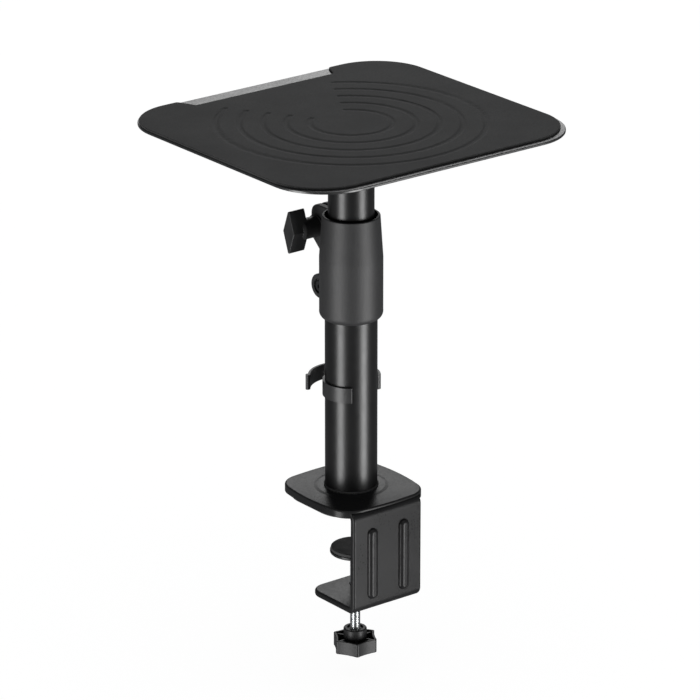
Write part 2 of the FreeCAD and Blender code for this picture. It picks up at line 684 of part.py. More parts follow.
def tray_pad():
    pad = rounded_plate(-PAD_X / 2, PAD_X / 2, PAD_Y[0], PAD_Y[1], TRAY_PLATE_Z[1], PAD_TOP_Z, PAD_CORNER_R)
    pad = pad.cut(notch_cutter())
    for k in range(GROOVE_COUNT):
        pad = pad.cut(groove_cutter(GROOVE_FIRST_R + k * GROOVE_STEP_R))
    return pad


def stop_groove():
    """(foot, top) of the snap ring's groove, just above the guide bush."""
    foot = INNER_TUBE_BOTTOM + BUSH_HEIGHT + 2 * RUNNING_GAP
    return foot, foot + STOP_RING_H + 2 * RUNNING_GAP


def inner_tube():
    tube = ring(INNER_TUBE_R, INNER_TUBE_R - INNER_TUBE_WALL, INNER_TUBE_BOTTOM, FLANGE_Z[0])
    return tube.cut(ring(INNER_TUBE_R + 1, INNER_TUBE_R - STOP_RING_DEPTH, *stop_groove()))


def stop_ring():
    z0 = stop_groove()[0] + RUNNING_GAP
    z1 = z0 + STOP_RING_H
    snap = ring(INNER_TUBE_R + STOP_RING_RISE, INNER_TUBE_R - STOP_RING_DEPTH + WELD_GAP, z0, z1)
    return snap.cut(block(-3.0, 3.0, 5.0, OUTER_TUBE_R, z0 - 1, z1 + 1))


def guide_bush():
    z0 = INNER_TUBE_BOTTOM + RUNNING_GAP
    outer = OUTER_TUBE_R - OUTER_TUBE_WALL - RUNNING_GAP
    return ring(outer, INNER_TUBE_R + RUNNING_GAP, z0, z0 + BUSH_HEIGHT)


def tube_end_cap():
    z0, z1 = INNER_TUBE_BOTTOM - END_CAP_LIP_H, INNER_TUBE_BOTTOM
    lip = round_rim(cylinder(INNER_TUBE_R + END_CAP_LIP_RISE, z0, z1), z0, 0.8)
    plug = cylinder(INNER_TUBE_R - INNER_TUBE_WALL - WELD_GAP, z1, z1 + END_CAP_PLUG_H)
    return lip.fuse(plug).removeSplitter()


# ---- clamp screw ----
def clamp_screw():
    z0, z1 = SCREW_Z
    shank = round_rim(cylinder(SCREW_R, z0 + SCREW_HEAD_H, z1, 0, SCREW_Y), z1, 0.8)
    foot, top = CLIP_RING_Z[0] - HOLE_PLAY, CLIP_RING_Z[1] + HOLE_PLAY
    groove = ring(SCREW_R + 1, SCREW_R - CLIP_RING_DEPTH, foot, top, 0, SCREW_Y)
    head = hexagon_z(NUT_M8_FLATS, z0, z0 + SCREW_HEAD_H, 0, SCREW_Y)
    return shank.cut(groove).fuse(head).removeSplitter()


def disc_cup():
    z0, z1 = DISC_CUP_Z
    plate = round_rim(cylinder(DISC_CUP_R, z0, z1, 0, SCREW_Y), z0, 1.0)
    boss = round_rim(cylinder(DISC_BOSS_R, DISC_BOSS_Z, z0, 0, SCREW_Y), DISC_BOSS_Z, 0.6)
    bore = cylinder(SCREW_R + RUNNING_GAP, DISC_BOSS_Z - 1, SCREW_Z[1] + HOLE_PLAY, 0, SCREW_Y)
    foot, top = CLIP_RING_Z[0] - RUNNING_GAP, CLIP_RING_Z[1] + RUNNING_GAP
    seat = cylinder(CLIP_RING_R + HOLE_PLAY, foot, top, 0, SCREW_Y)
    return plate.fuse(boss).cut(bore).cut(seat).removeSplitter()


def disc_clip():
    z0, z1 = CLIP_RING_Z
    clip = ring(CLIP_RING_R, SCREW_R - CLIP_RING_DEPTH + RUNNING_GAP, z0, z1, 0, SCREW_Y)
    return clip.cut(block(-2.0, 2.0, SCREW_Y + 2.0, SCREW_Y + CLIP_RING_R + 1, z0 - 1, z1 + 1))


def disc_pad():
    z0, z1 = DISC_PAD_Z
    pad = cylinder(DISC_PAD_R, z0, z1, 0, SCREW_Y)
    return round_rim(round_rim(pad, z1, 1.2), z0, 0.8)


def star_prism(inset, z0, z1, tip_round):
    """Six-pointed prism with shallow hollow sides."""
    centre = vec(0, SCREW_Y, 0)
    step = 360.0 / STAR_LOBES
    tip_r = STAR_TIP_R - inset * 1.2
    sides = []
    for k in range(STAR_LOBES):
        angle = STAR_PHASE_DEG + k * step
        a = polar(tip_r, angle, z0) + centre
        b = polar(tip_r, angle + step, z0) + centre
        middle = polar(STAR_SIDE_R - inset, angle + step / 2.0, z0) + centre
        sides.append(Part.Arc(a, middle, b).toShape())
    prism = extrude(sides, vec(0, 0, z1 - z0))
    return prism.makeFillet(tip_round, [e for e in prism.Edges if upright(e)])


def star_ribs(z0, z1):
    """Walls that tie the hub to each tip."""
    ribs = []
    for k in range(STAR_LOBES):
        rib = block(0, STAR_TIP_R, -STAR_RIB_HALF, STAR_RIB_HALF, z0, z1)
        rib.rotate(vec(0, 0, 0), Z_AXIS, STAR_PHASE_DEG + 360.0 * k / STAR_LOBES)
        rib.translate(vec(0, SCREW_Y, 0))
        ribs.append(rib)
    return ribs


def star_knob():
    z0, z1 = STAR_Z
    body = star_prism(0.0, z0, z1, STAR_TIP_ROUND)
    body = round_rim(round_rim(body, z0, 0.8), z1, 0.4)
    pockets = star_prism(STAR_WALL, z0 + STAR_FLOOR, z1 + 1.0, STAR_POCKET_ROUND)
    pockets = pockets.cut(cylinder(STAR_HUB_R, z0, z1 + 2.0, 0, SCREW_Y))
    for rib in star_ribs(z0, z1 - 0.8):
        pockets = pockets.cut(rib)
    hub = round_rim(cylinder(STAR_HUB_R, z0 + STAR_FLOOR, STAR_HUB_Z, 0, SCREW_Y), STAR_HUB_Z, 1.0)
    knob = body.cut(pockets).fuse(hub)
    knob = knob.cut(cylinder(SCREW_R + WELD_GAP, z0 - 1, STAR_HUB_Z + 1, 0, SCREW_Y))
    knob = knob.cut(cylinder(STAR_DISH_R, STAR_HUB_Z - STAR_DISH_DEPTH, STAR_HUB_Z + 1, 0, SCREW_Y))
    screw_foot = SCREW_Z[0]
    socket = hexagon_z(NUT_M8_FLATS + HOLE_PLAY, screw_foot, screw_foot + SCREW_HEAD_H, 0, SCREW_Y)
    cap_seat = cylinder(STAR_CAP_R + RUNNING_GAP, z0 - 1, screw_foot, 0, SCREW_Y)
    return knob.cut(socket).cut(cap_seat).removeSplitter()


def star_cap():
    z0, z1 = STAR_CAP_Z
    return round_rim(cylinder(STAR_CAP_R, z0, z1, 0, SCREW_Y), z0, 0.3)


SUB_PARTS = [
    base_plate, base_pad, clamp_bracket, jaw_nut, outer_tube, foot_plug, foot_ring, foot_screws,
    base_screws, collar, clamp_liner, clamp_bolt, collar_screw, collar_nut, cable_clip, knob_washer,
    wing_knob, knob_insert, inner_tube, tray_flange, tray_plate, tray_pad, tray_screws, guide_bush,
    stop_ring, tube_end_cap, clamp_screw, star_knob, star_cap, disc_cup, disc_pad, disc_clip,
]


def main():
    os.makedirs("parts", exist_ok=True)
    for make in SUB_PARTS:
        shape = make()
        if not shape.isValid() or not shape.Solids:
            raise ValueError(make.__name__ + " is not a valid solid")
        print(make.__name__, len(shape.Solids), round(shape.Volume, 1))
        shape.exportStep(os.path.join("parts", make.__name__ + ".step"))


main()
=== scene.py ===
import json
import math

import bmesh
import bpy
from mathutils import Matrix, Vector


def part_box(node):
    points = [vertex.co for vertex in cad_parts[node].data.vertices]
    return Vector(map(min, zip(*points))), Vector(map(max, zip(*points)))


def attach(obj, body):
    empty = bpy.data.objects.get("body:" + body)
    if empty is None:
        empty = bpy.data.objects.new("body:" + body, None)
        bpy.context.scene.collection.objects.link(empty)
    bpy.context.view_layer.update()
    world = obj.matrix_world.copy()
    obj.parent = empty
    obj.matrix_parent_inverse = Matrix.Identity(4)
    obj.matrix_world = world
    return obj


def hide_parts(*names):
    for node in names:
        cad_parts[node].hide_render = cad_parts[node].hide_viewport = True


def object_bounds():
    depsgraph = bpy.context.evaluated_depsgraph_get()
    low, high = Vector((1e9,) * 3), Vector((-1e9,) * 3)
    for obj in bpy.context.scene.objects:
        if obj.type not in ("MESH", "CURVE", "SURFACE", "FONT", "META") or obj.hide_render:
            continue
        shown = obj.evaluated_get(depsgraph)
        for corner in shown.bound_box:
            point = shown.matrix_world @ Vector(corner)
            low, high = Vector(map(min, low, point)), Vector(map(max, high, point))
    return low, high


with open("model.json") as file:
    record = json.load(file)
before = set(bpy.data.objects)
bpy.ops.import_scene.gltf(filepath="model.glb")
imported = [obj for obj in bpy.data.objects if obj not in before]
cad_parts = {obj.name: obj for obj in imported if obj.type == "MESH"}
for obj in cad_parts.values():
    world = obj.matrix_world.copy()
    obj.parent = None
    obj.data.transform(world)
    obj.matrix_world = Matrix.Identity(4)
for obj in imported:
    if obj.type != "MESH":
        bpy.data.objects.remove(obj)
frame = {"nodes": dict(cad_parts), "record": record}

MM = 0.001
CAD_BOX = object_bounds()

# ---- shape details of the pieces made here ----
PAD_CORNER_R = 44.0 * MM
PAD_EDGE_R = 0.7 * MM
PAD_NOTCH_HALF = 69.0 * MM
PAD_NOTCH_DEPTH = 15.0 * MM
PAD_NOTCH_BEND = 4.6 * MM
PAD_STEP = 1.0 * MM
GROOVE_RADII = [(31.0 + 17.4 * k) * MM for k in range(5)]
GROOVE_HALF_WIDTH = 2.4 * MM
GROOVE_SHOULDER = 1.1 * MM
GROOVE_DEPTH = 0.5 * MM
GROOVE_START = math.radians(122.0)
GROOVE_END = math.radians(420.0)
BASE_PAD_CORNER_R = 28.0 * MM
BASE_PAD_EDGE_R = 0.4 * MM
BASE_PAD_BACK_INSET = 2.7 * MM
BASE_PAD_RIB_PITCH = 3.0 * MM
BASE_PAD_RIB_DEPTH = 0.25 * MM
BASE_PAD_PLAIN_RIM = 2.0 * MM
BASE_PAD_STEP = 0.6 * MM
DISC_RIDGE_PITCH = 2.4 * MM
DISC_RIDGE_DEPTH = 0.08 * MM
DISC_ROUND_R = 1.1 * MM
DISC_LOWER_R = 0.5 * MM
DISC_RIDGE_INSET = 0.6 * MM
FOOT_RING_ROUND_R = 0.55 * MM
FOOT_RING_GAP = 0.05 * MM
FOOT_RING_INNER_FALL = 0.1 * MM
SCREW_PITCH = 1.25 * MM
SCREW_R = 3.95 * MM
SCREW_ROOT_DEPTH = 0.45 * MM
SCREW_CHAMFER = 0.9 * MM
SCREW_HEAD_FLATS = 13.0 * MM
SCREW_HEAD_HEIGHT = 5.5 * MM
SCREW_HEAD_CHAMFER = 0.6 * MM
BEAD_STEP = 0.45 * MM
TUBE_BEAD_SIZE = 2.4 * MM
NUT_BEAD_SIZE = 1.8 * MM
NUT_BEAD_START = 95.0
NUT_BEAD_SPAN = 50.0
CROWN_REACH = 45.0 * MM

# ---- the camera and the studio ----
CAMERA_SPOT = Vector((-2.0364, -2.6069, 1.359))
CAMERA_TILT = math.radians(90.0 - 20.57)
CAMERA_TURN = math.radians(-37.98)
CAMERA_LENS = 240.4
FLOOR_DROP = 22.0 * MM
FLOOR_HALF = 14.0
LIGHT_TARGET = Vector((0.0, 0.0, 0.09))


# ---------------------------------------------------------------- node trees

class Look:
    """One procedural material. Texture sizes are given in millimetres."""

    def __init__(self, name):
        self.material = bpy.data.materials.new(name)
        self.material.use_nodes = True
        self.tree = self.material.node_tree
        self.tree.nodes.clear()
        self.where = self.add("ShaderNodeTexCoord").outputs["Object"]

    def add(self, kind, settings=None, **inputs):
        node = self.tree.nodes.new(kind)
        for key, value in (settings or {}).items():
            setattr(node, key, value)
        for key, value in inputs.items():
            self.feed(node.inputs[key.replace("_", " ")], value)
        return node

    def feed(self, socket, value):
        if isinstance(value, bpy.types.NodeSocket):
            self.tree.links.new(value, socket)
        else:
            socket.default_value = value

    def math(self, operation, a, b=0.0, clamp=False):
        node = self.add("ShaderNodeMath", {"operation": operation, "use_clamp": clamp})
        self.feed(node.inputs[0], a)
        self.feed(node.inputs[1], b)
        return node.outputs[0]

    def blend(self, factor, a, b):
        """Colour a at factor 0 and colour b at factor 1."""
        node = self.add("ShaderNodeMix", {"data_type": "RGBA"})
        self.feed(node.inputs[0], factor)
        self.feed(node.inputs[6], a)
        self.feed(node.inputs[7], b)
        return node.outputs[2]

    def span(self, value, low, high, to_low=0.0, to_high=1.0):
        """value's range low to high becomes to_low to to_high, clamped."""
        node = self.add("ShaderNodeMapRange", Value=value)
        for key, number in zip(("From Min", "From Max", "To Min", "To Max"), (low, high, to_low, to_high)):
            node.inputs[key].default_value = number
        return node.outputs[0]

    def stretched(self, sx, sy, sz):
        return self.add("ShaderNodeMapping", Vector=self.where, Scale=(sx, sy, sz)).outputs[0]

    def noise(self, size_mm, detail=2.0, rough=0.5, where=None):
        node = self.add("ShaderNodeTexNoise", Vector=where or self.where, Scale=1.0 / (size_mm * MM),
                        Detail=detail, Roughness=rough)
        return node.outputs[0]

    def cells(self, size_mm, feature="F1", where=None):
        node = self.add("ShaderNodeTexVoronoi", {"feature": feature}, Vector=where or self.where,
                        Scale=1.0 / (size_mm * MM))
        return node.outputs[0]

    def crown(self):
        """Squared distance from the pole's axis, 1 at CROWN_REACH."""
        flat = self.stretched(1.0 / CROWN_REACH, 1.0 / CROWN_REACH, 0.0)
        reach = self.add("ShaderNodeVectorMath", {"operation": "LENGTH"}, Vector=flat).outputs["Value"]
        return self.math("MULTIPLY", reach, reach)

    def soft_edges(self, radius_mm):
        return self.add("ShaderNodeBevel", {"samples": 6}, Radius=radius_mm * MM).outputs[0]

    def edge_mask(self, radius_mm):
        """1 along sharp edges, 0 on flat faces."""
        rounded = self.soft_edges(radius_mm)
        plain = self.add("ShaderNodeNewGeometry").outputs["Normal"]
        dot = self.add("ShaderNodeVectorMath", {"operation": "DOT_PRODUCT"})
        self.feed(dot.inputs[0], rounded)
        self.feed(dot.inputs[1], plain)
        return self.span(dot.outputs["Value"], 0.985, 0.80)

    def bump(self, height, depth_mm, normal=None):
        node = self.add("ShaderNodeBump", Height=height, Distance=depth_mm * MM)
        if normal is not None:
            self.feed(node.inputs["Normal"], normal)
        return node.outputs[0]

    def principled(self, **inputs):
        shader = self.add("ShaderNodeBsdfPrincipled", **inputs)
        output = self.add("ShaderNodeOutputMaterial")
        self.tree.links.new(shader.outputs[0], output.inputs["Surface"])
        return self.material


def grey(level, tint=1.03):
    """A near-black paint grey with a faint cool tint."""
    return (level, level, level * tint, 1.0)


def scratches(look, along=(1.0, 1.0, 0.05)):
    """Sparse hairline marks, 0 to 1, drawn out along the squeezed axis."""
    line = look.noise(0.9, 1.0, where=look.stretched(*along))
    patch = look.noise(38.0, 1.0)
    thin = look.span(line, 0.70, 0.74)
    return look.math("MULTIPLY", thin, look.span(patch, 0.52, 0.66))


# ---------------------------------------------------------------- materials

def powder_coat(name, edge_mm, specular, rough_shift=0.0, crown_mm=0.0):
    """Satin black powder coat: orange peel, fine grain, rubbed edges. A crowned piece's surface falls
    away from the pole's axis by crown_mm at CROWN_REACH."""
    look = Look(name)
    broad = look.noise(34.0, 3.0)
    peel = look.noise(1.5, 2.0)
    grain = look.noise(0.32, 2.0)
    wear = look.math("MULTIPLY", look.edge_mask(0.45), look.span(look.noise(5.0, 4.0), 0.50, 0.72))
    base = look.blend(look.span(broad, 0.3, 0.7), grey(0.008), grey(0.012))
    colour = look.blend(look.math("MULTIPLY", wear, 0.35), base, grey(0.10))
    patchy = look.span(broad, 0.3, 0.7, rough_shift - 0.03, rough_shift + 0.03)
    rough = look.math("ADD", look.span(peel, 0.3, 0.7, 0.28, 0.36), patchy)
    normal = look.soft_edges(edge_mm)
    if crown_mm:
        normal = look.bump(look.crown(), -crown_mm, normal)
    normal = look.bump(grain, 0.010, look.bump(peel, 0.018, normal))
    return look.principled(Base_Color=colour, Roughness=rough, Normal=normal, Specular_IOR_Level=specular)


def gloss_paint():
    """Smooth semi-gloss black on the tubes, with faint sliding marks along the pole."""
    look = Look("gloss_paint")
    broad = look.noise(26.0, 3.0)
    peel = look.noise(2.6, 2.0)
    marks = scratches(look, (1.0, 1.0, 0.04))
    base = look.blend(look.span(broad, 0.3, 0.7), grey(0.003), grey(0.005))
    colour = look.blend(look.math("MULTIPLY", marks, 0.25), base, grey(0.05))
    rough = look.math("ADD", look.span(look.noise(7.0, 4.0), 0.3, 0.7, 0.31, 0.36),
                      look.math("MULTIPLY", marks, 0.08))
    normal = look.bump(peel, 0.010, look.soft_edges(0.3))
    return look.principled(Base_Color=colour, Roughness=rough, Normal=normal)


def spark_plastic():
    """The collar's coarse eroded mould texture."""
    look = Look("spark_plastic")
    pits = look.cells(0.62)
    grain = look.noise(0.42, 3.0, 0.6)
    broad = look.noise(15.0, 3.0)
    texture = look.math("ADD", look.math("MULTIPLY", pits, 0.6), grain)
    rubbed = look.math("MULTIPLY", look.edge_mask(0.6), look.span(broad, 0.45, 0.65))
    base = look.blend(look.span(texture, 0.45, 1.1), grey(0.010), grey(0.022))
    colour = look.blend(look.math("MULTIPLY", rubbed, 0.3), base, grey(0.06))
    rough = look.span(texture, 0.4, 1.1, 0.42, 0.54)
    normal = look.bump(texture, 0.085, look.soft_edges(0.4))
    return look.principled(Base_Color=colour, Roughness=rough, Normal=normal)


def knob_plastic(name, specular):
    """Moulded black plastic of the knobs and the clip: fine etch, edges slightly polished by hand (lower
    roughness) and a painted edge sheen that lightens their colour.
    """
    look = Look(name)
    etch = look.noise(0.38, 2.0, 0.6)
    flow = look.noise(9.0, 3.0)
    polish_and_sheen = look.math("MULTIPLY", look.edge_mask(0.7), look.span(look.noise(6.0, 3.0), 0.4, 0.6))
    base = look.blend(look.span(flow, 0.3, 0.7), grey(0.012), grey(0.018))
    # Painted highlight: the edge mask lightens the colour along the edges as a painted sheen; the lower
    # roughness there is real wear from handling.
    colour = look.blend(look.math("MULTIPLY", polish_and_sheen, 0.4), base, grey(0.05))
    rough = look.math("SUBTRACT", look.span(etch, 0.3, 0.7, 0.33, 0.44), look.math("MULTIPLY", polish_and_sheen, 0.10))
    normal = look.bump(etch, 0.014, look.soft_edges(0.35))
    return look.principled(Base_Color=colour, Roughness=rough, Normal=normal, Specular_IOR_Level=specular)


def bush_plastic():
    """Slippery bearing plastic with fine turning lines."""
    look = Look("bush_plastic")
    lines = look.noise(0.5, 1.0, where=look.stretched(0.1, 0.1, 1.0))
    smear = look.noise(8.0, 3.0)
    colour = look.blend(look.span(smear, 0.3, 0.7), grey(0.022), grey(0.034))
    rough = look.span(smear, 0.3, 0.7, 0.36, 0.50)
    return look.principled(Base_Color=colour, Roughness=rough, Normal=look.bump(lines, 0.012))


def rubber():
    """Matte rubber of the disc pad, the base pad and the foot ring."""
    look = Look("rubber")
    grain = look.noise(0.45, 3.0, 0.65)
    bloom = look.noise(11.0, 4.0)
    colour = look.blend(look.span(bloom, 0.42, 0.72), grey(0.016), grey(0.034, 1.0))
    rough = look.span(bloom, 0.3, 0.7, 0.62, 0.78)
    normal = look.bump(grain, 0.030, look.soft_edges(0.25))
    return look.principled(Base_Color=colour, Roughness=rough, Normal=normal)


def pad_skin():
    """The tray pad's leather-grained soft sheet."""
    look = Look("pad_skin")
    pebbles = look.cells(0.95, "SMOOTH_F1")
    fine = look.noise(0.40, 3.0, 0.6)
    broad = look.noise(46.0, 3.0)
    dust = look.span(look.noise(2.2, 5.0, 0.7), 0.62, 0.80)
    grain = look.math("ADD", look.math("MULTIPLY", pebbles, 0.8), look.math("MULTIPLY", fine, 0.5))
    base = look.blend(look.span(grain, 0.3, 0.9), grey(0.021, 1.0), grey(0.034, 1.0))
    tone = look.blend(look.span(broad, 0.35, 0.65), base, grey(0.038, 1.0))
    colour = look.blend(look.math("MULTIPLY", dust, 0.10), tone, grey(0.10, 1.0))
    rough = look.span(grain, 0.3, 0.9, 0.62, 0.76)
    normal = look.bump(grain, 0.060, look.bump(broad, 0.20))
    return look.principled(Base_Color=colour, Roughness=rough, Normal=normal, Specular_IOR_Level=0.22,
                           Sheen_Weight=0.05, Sheen_Roughness=0.5)


def zinc_plate():
    """Bright zinc on turned steel, with painted shade darkening the thread roots and other hollows."""
    look = Look("zinc_plate")
    cloud = look.noise(2.4, 4.0)
    turning = look.noise(0.35, 1.0, where=look.stretched(0.06, 0.06, 1.0))
    # Painted shade: a local ambient-occlusion mask darkens the colour in the thread roots and other hollows.
    hollow = look.add("ShaderNodeAmbientOcclusion", {"samples": 6, "only_local": True}, Distance=0.9 * MM)
    painted_root_shade = look.span(hollow.outputs["AO"], 0.95, 0.35)
    base = look.blend(look.span(cloud, 0.35, 0.65), (0.62, 0.65, 0.68, 1.0), (0.76, 0.77, 0.76, 1.0))
    colour = look.blend(look.math("MULTIPLY", painted_root_shade, 0.25), base, (0.10, 0.10, 0.095, 1.0))
    rough = look.span(cloud, 0.3, 0.7, 0.20, 0.34)
    normal = look.bump(turning, 0.006, look.soft_edges(0.12))
    return look.principled(Base_Color=colour, Metallic=1.0, Roughness=rough, Normal=normal)


def black_oxide():
    """Black-oxide fastener steel with bright rubbed edges."""
    look = Look("black_oxide")
    cloud = look.noise(1.8, 4.0)
    wear = look.math("MULTIPLY", look.edge_mask(0.3), look.span(look.noise(1.2, 3.0), 0.35, 0.6))
    colour = look.blend(wear, look.blend(cloud, grey(0.035), grey(0.07)), grey(0.30))
    rough = look.span(cloud, 0.3, 0.7, 0.30, 0.46)
    normal = look.bump(cloud, 0.008, look.soft_edges(0.2))
    return look.principled(Base_Color=colour, Metallic=0.85, Roughness=rough, Normal=normal)


def turned_brass():
    """Turned brass of the threaded insert, tarnished in patches."""
    look = Look("turned_brass")
    lines = look.noise(0.3, 1.0, where=look.stretched(1.0, 0.08, 0.08))
    tarnish = look.noise(2.0, 4.0)
    colour = look.blend(look.span(tarnish, 0.4, 0.7), (0.72, 0.52, 0.22, 1.0), (0.42, 0.27, 0.12, 1.0))
    rough = look.span(tarnish, 0.3, 0.7, 0.22, 0.42)
    return look.principled(Base_Color=colour, Metallic=1.0, Roughness=rough, Normal=look.bump(lines, 0.01))


# ---------------------------------------------------------------- meshes

def add_piece(name, points, faces, body, look, slot_name, *nodes):
    """A smooth-shaded mesh that rides on a body and stands for CAD nodes."""
    mesh = bpy.data.meshes.new(name)
    mesh.from_pydata([tuple(p) for p in points], [], faces)
    mesh.validate()
    tidy = bmesh.new()
    tidy.from_mesh(mesh)
    bmesh.ops.recalc_face_normals(tidy, faces=tidy.faces)
    tidy.to_mesh(mesh)
    tidy.free()
    mesh.shade_smooth()
    mesh.set_sharp_from_angle(angle=math.radians(40.0))
    mesh.materials.append(look)
    piece = bpy.data.objects.new(name, mesh)
    bpy.context.scene.collection.objects.link(piece)
    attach(piece, body)
    if nodes:
        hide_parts(*nodes)
    return piece


def middle(node):
    low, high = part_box(node)
    return (low + high) / 2.0


def half_width(node):
    low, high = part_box(node)
    return (high.x - low.x) / 2.0


def lathe(profile, centre, turns=128):
    """Points and faces of a closed (radius, z) profile spun about a vertical axis.
    A profile that starts and ends at radius 0 closes at two poles; any other closes on itself."""
    solid = profile[0][0] == 0.0
    ring_profile = profile[1:-1] if solid else profile
    points = []
    for radius, z in ring_profile:
        for k in range(turns):
            angle = 2.0 * math.pi * k / turns
            points.append((centre.x + radius * math.cos(angle), centre.y + radius * math.sin(angle), z))
    rows = len(ring_profile)
    faces = []
    for row in range(rows - 1 if solid else rows):
        below, above = row * turns, ((row + 1) % rows) * turns
        for k in range(turns):
            after = (k + 1) % turns
            faces.append((below + k, below + after, above + after, above + k))
    if solid:
        for tip, row in ((profile[0], 0), (profile[-1], rows - 1)):
            points.append((centre.x, centre.y, tip[1]))
            pole = len(points) - 1
            faces += [(pole, row * turns + k, row * turns + (k + 1) % turns) for k in range(turns)]
    return points, faces


def arc(cx, cz, radius, start, end, steps=6):
    """Profile points along an arc, angles in degrees."""
    points = []
    for k in range(steps + 1):
        angle = math.radians(start + (end - start) * k / steps)
        points.append((cx + radius * math.cos(angle), cz + radius * math.sin(angle)))
    return points


def smooth_step(low, high, value):
    t = min(1.0, max(0.0, (value - low) / (high - low)))
    return t * t * (3.0 - 2.0 * t)


# ---- sheets with a rounded outline ----
def outline_columns(half_x, corner_r, step, extra=()):
    """X places of the grid columns: even in the middle, closer together round the corners."""
    straight = half_x - corner_r
    count = max(2, round(2.0 * straight / step))
    places = [-straight + 2.0 * straight * k / count for k in range(count + 1)]
    turns = 34
    for k in range(1, turns + 1):
        reach = straight + corner_r * math.sin(math.pi / 2.0 * k / turns)
        places += [-reach, reach]
    return sorted(places + list(extra))


def corner_drop(x, half_x, corner_r):
    """How far the edge has fallen back at x, round a corner."""
    past = abs(x) - (half_x - corner_r)
    if past <= 0.0:
        return 0.0
    return corner_r - math.sqrt(max(0.0, corner_r ** 2 - past ** 2))


def sheet(columns, edges, rows, top_at, bottom_z, edge_r):
    """A thin sheet: a grid between the curves edges(x), a rounded rim and a flat back."""
    points, faces = [], []
    width = rows + 1
    for x in columns:
        low, high = edges(x)
        for k in range(width):
            y = low + (high - low) * k / rows
            points.append(Vector((x, y, top_at(x, y))))
    last = len(columns) - 1
    for i in range(last):
        for k in range(rows):
            a = i * width + k
            faces.append((a, a + width, a + width + 1, a + 1))
    rim = [i * width for i in range(last)]
    rim += [last * width + k for k in range(rows)]
    rim += [i * width + rows for i in range(last, 0, -1)]
    rim += [k for k in range(rows, 0, -1)]
    previous = rim
    for degrees in (30.0, 60.0, 90.0):
        out = edge_r * math.sin(math.radians(degrees))
        down = edge_r * (1.0 - math.cos(math.radians(degrees)))
        previous = rim_loop(points, faces, rim, previous, out, down)
    previous = rim_loop(points, faces, rim, previous, edge_r, None, bottom_z)
    faces.append(tuple(reversed(previous)))
    return points, faces


def rim_loop(points, faces, rim, previous, out, down, flat_z=None):
    """One more loop round the rim, moved outwards by out and lowered by down."""
    start = len(points)
    count = len(rim)
    for k in range(count):
        here = points[rim[k]]
        along = points[rim[(k + 1) % count]] - points[rim[k - 1]]
        outward = Vector((along.y, -along.x, 0.0)).normalized()
        place = here + outward * out
        place.z = flat_z if flat_z is not None else here.z - down
        points.append(place)
    for k in range(count):
        after = (k + 1) % count
        faces.append((previous[k], start + k, start + after, previous[after]))
    return [start + k for k in range(count)]


def groove_fall(x, y):
    """How deep the pad's surface lies under its top at a point."""
    radius = math.hypot(x, y)
    angle = math.atan2(y, x)
    if angle < GROOVE_START:
        angle += 2.0 * math.pi
    deepest = 0.0
    for ring_r in GROOVE_RADII:
        if abs(radius - ring_r) > 2.0 * GROOVE_HALF_WIDTH:
            continue
        if GROOVE_START <= angle <= GROOVE_END:
            away = abs(radius - ring_r)
        else:
            away = min(
                math.hypot(x - ring_r * math.cos(end), y - ring_r * math.sin(end))
                for end in (GROOVE_START, GROOVE_END)
            )
        fall = smooth_step(GROOVE_HALF_WIDTH, GROOVE_HALF_WIDTH - GROOVE_SHOULDER, away)
        deepest = max(deepest, fall * GROOVE_DEPTH)
    return deepest


def make_tray_pad(look):
    """Soft sheet with a notch in its +Y edge and five C-shaped channels."""
    low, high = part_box("tray_pad")
    half_x = high.x - PAD_EDGE_R
    corner_r = PAD_CORNER_R - PAD_EDGE_R
    y_low, y_high = low.y + PAD_EDGE_R, high.y - PAD_EDGE_R

    def edges(x):
        drop = corner_drop(x, half_x, corner_r)
        inside = smooth_step(PAD_NOTCH_HALF + PAD_NOTCH_BEND, PAD_NOTCH_HALF - PAD_NOTCH_BEND, abs(x))
        return y_low + drop, y_high - drop - inside * PAD_NOTCH_DEPTH

    fine = [side * (PAD_NOTCH_HALF + PAD_NOTCH_BEND * k / 12.0) for side in (-1, 1) for k in range(-13, 14)]
    columns = outline_columns(half_x, corner_r, PAD_STEP, fine)
    rows = round((y_high - y_low) / PAD_STEP)
    points, faces = sheet(columns, edges, rows, lambda x, y: high.z - groove_fall(x, y), low.z, PAD_EDGE_R)
    add_piece("tray_pad_sheet", points, faces, "tray", look, "pad_rubber", "tray_pad")


def make_base_pad(look):
    """Rubber sheet under the base, with shallow grip ribs on the face that meets the desk."""
    low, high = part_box("base_pad")
    y_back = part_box("base_plate")[0].y + BASE_PAD_BACK_INSET
    half_x = high.x - BASE_PAD_EDGE_R
    y_low, y_high = low.y + BASE_PAD_EDGE_R, high.y - BASE_PAD_EDGE_R
    thick = high.z - low.z

    def edges(x):
        drop = corner_drop(x, half_x, BASE_PAD_CORNER_R)
        return max(y_low, y_back + drop), y_high - drop

    def ribbed(x, y):
        border = min(half_x - abs(x), y - y_low, y_high - y)
        wave = 0.5 - 0.5 * math.cos(2.0 * math.pi * (x + y) / BASE_PAD_RIB_PITCH)
        fade = smooth_step(BASE_PAD_PLAIN_RIM, 2.0 * BASE_PAD_PLAIN_RIM, border)
        return thick - wave * BASE_PAD_RIB_DEPTH * fade

    columns = outline_columns(half_x, BASE_PAD_CORNER_R, BASE_PAD_STEP)
    rows = round((y_high - y_low) / BASE_PAD_STEP)
    points, faces = sheet(columns, edges, rows, ribbed, 0.0, BASE_PAD_EDGE_R)
    flipped = [Vector((p.x, p.y, low.z + thick - p.z)) for p in points]
    add_piece("base_pad_sheet", flipped, faces, "stand", look, "black_rubber", "base_pad")


